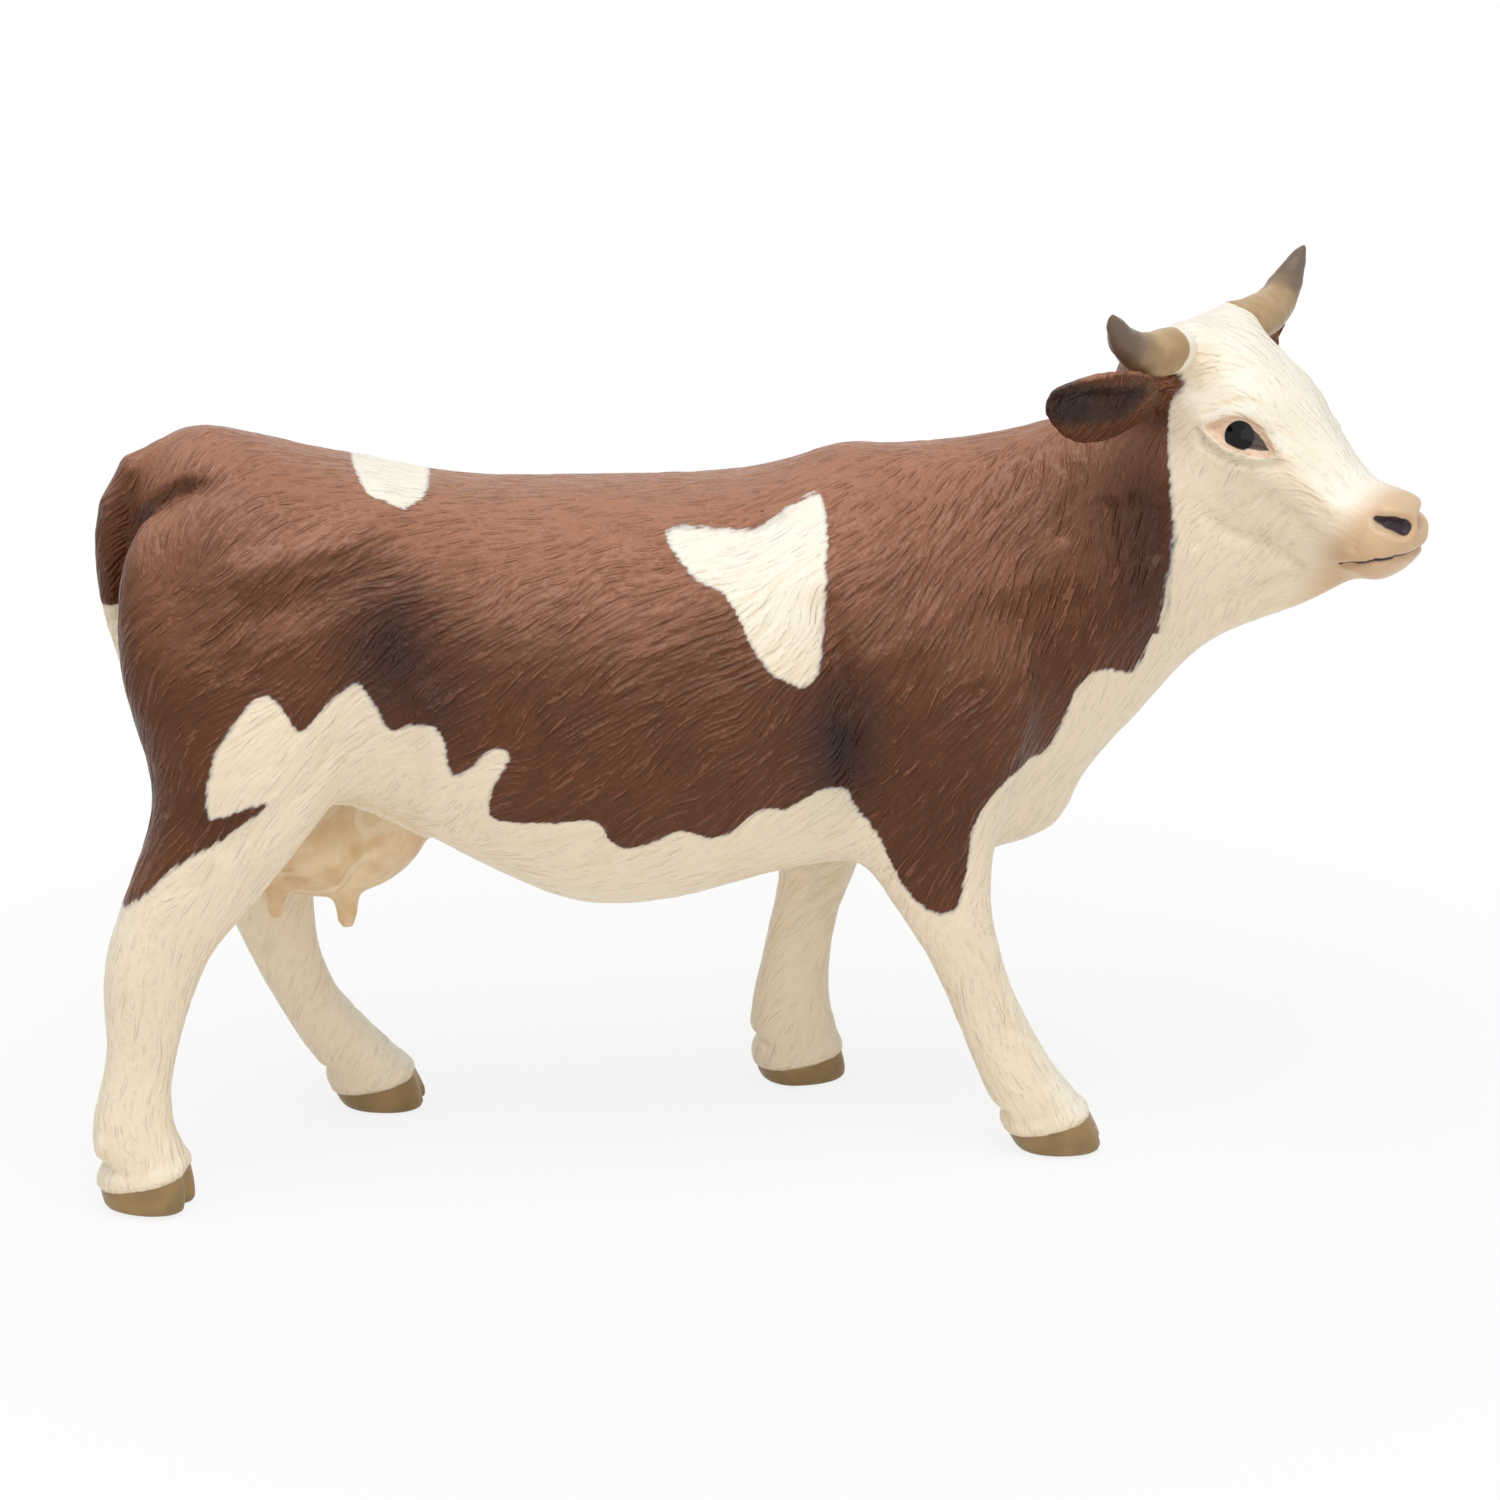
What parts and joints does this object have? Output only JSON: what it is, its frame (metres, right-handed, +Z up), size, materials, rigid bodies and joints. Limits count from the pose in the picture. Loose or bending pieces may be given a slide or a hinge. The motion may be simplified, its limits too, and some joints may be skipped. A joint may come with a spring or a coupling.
{
  "type": "cow figurine",
  "caption": "Standing cow figurine in mid stride, head turned to its right, with horns, ears, udder and a hanging tail; a free-standing ornament.",
  "frame": {"origin": "middle of the ground area that the figurine covers, at the level of the hoof soles", "axes": "+X to the cow's front, +Y to its left, +Z up"},
  "size_m": [0.1436, 0.0478, 0.0947],
  "materials": {
    "coat_brown": "hand-painted satin, sculpted coat",
    "coat_cream": "hand-painted satin, sculpted coat",
    "horn_beige": "hand-painted satin, darker tips",
    "udder_pink": "hand-painted satin"
  },
  "bodies": {
    "root": {"body": "coat_brown", "head": "coat_cream", "horn_right": "horn_beige", "horn_left": "horn_beige", "ear_right": "coat_brown", "ear_left": "coat_brown", "foreleg_right": "coat_cream", "foreleg_left": "coat_cream", "hindleg_right": "coat_cream", "hindleg_left": "coat_cream", "udder": "udder_pink", "tail": "coat_brown"}
  },
  "joints": []
}
